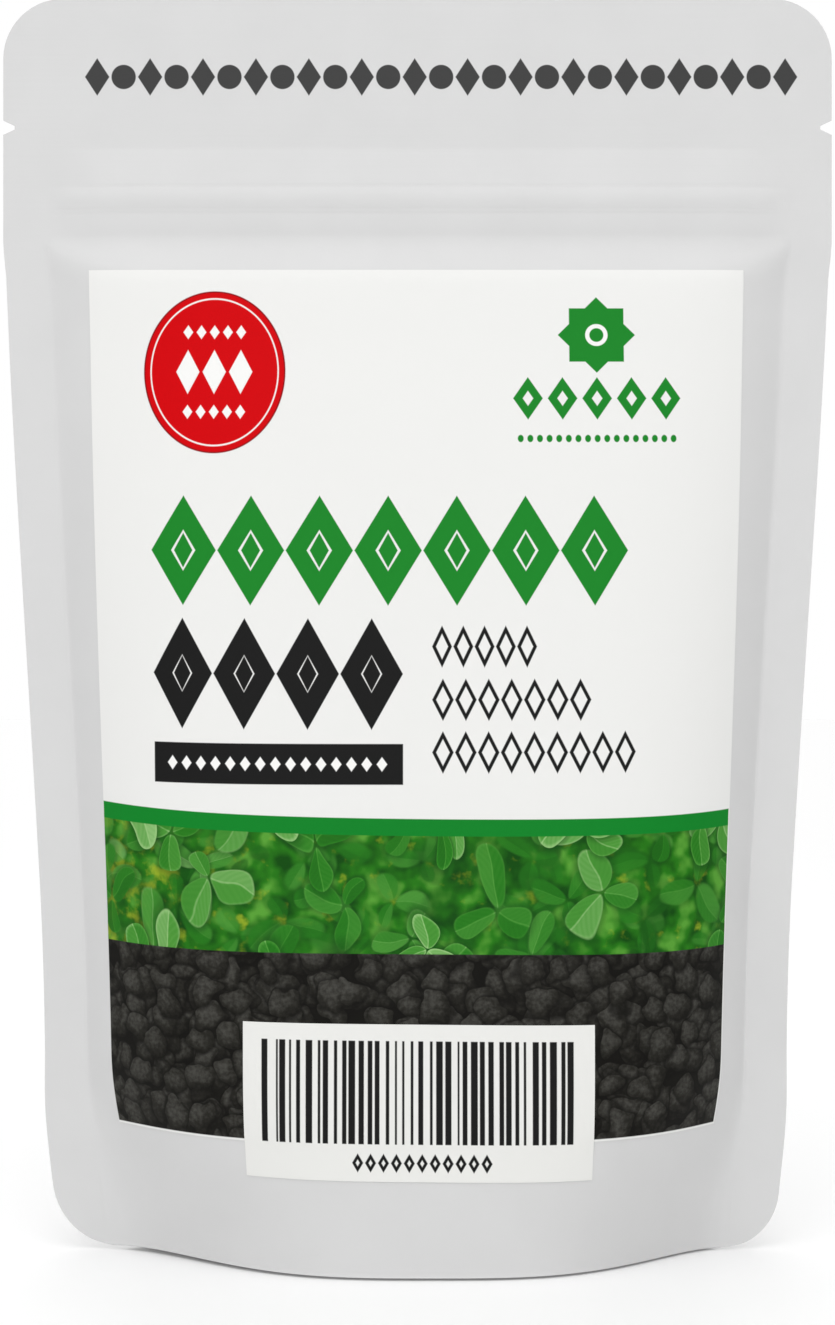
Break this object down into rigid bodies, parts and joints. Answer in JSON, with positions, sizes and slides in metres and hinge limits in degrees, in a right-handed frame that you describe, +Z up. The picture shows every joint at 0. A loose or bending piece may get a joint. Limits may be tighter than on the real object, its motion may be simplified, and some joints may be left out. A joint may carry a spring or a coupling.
{
  "type": "stand-up seed pouch",
  "caption": "Filled stand-up film pouch of seeds, with a press-to-close zip, tear notches, folded base, front label and small sticker.",
  "frame": {"origin": "middle of the folded base's flat spot, on the surface that the pouch stands on", "axes": "+Z up along the pouch, +X across it to the viewer's right, -Y out of the labelled front"},
  "size_m": [0.1016, 0.0349, 0.1531],
  "materials": {
    "film": "matt pearl-grey laminate film",
    "zip": "extruded polythene",
    "label": "coated print label",
    "sticker": "plain white sticker paper",
    "seeds": "dark matt seed coat"
  },
  "bodies": {
    "root": {"front_panel": "film", "back_panel": "film", "bottom_gusset": "film", "zip_rib_tape": "zip", "zip_groove_tape": "zip", "label": "label", "barcode_sticker": "sticker", "seed_heap": "seeds"}
  },
  "joints": []
}
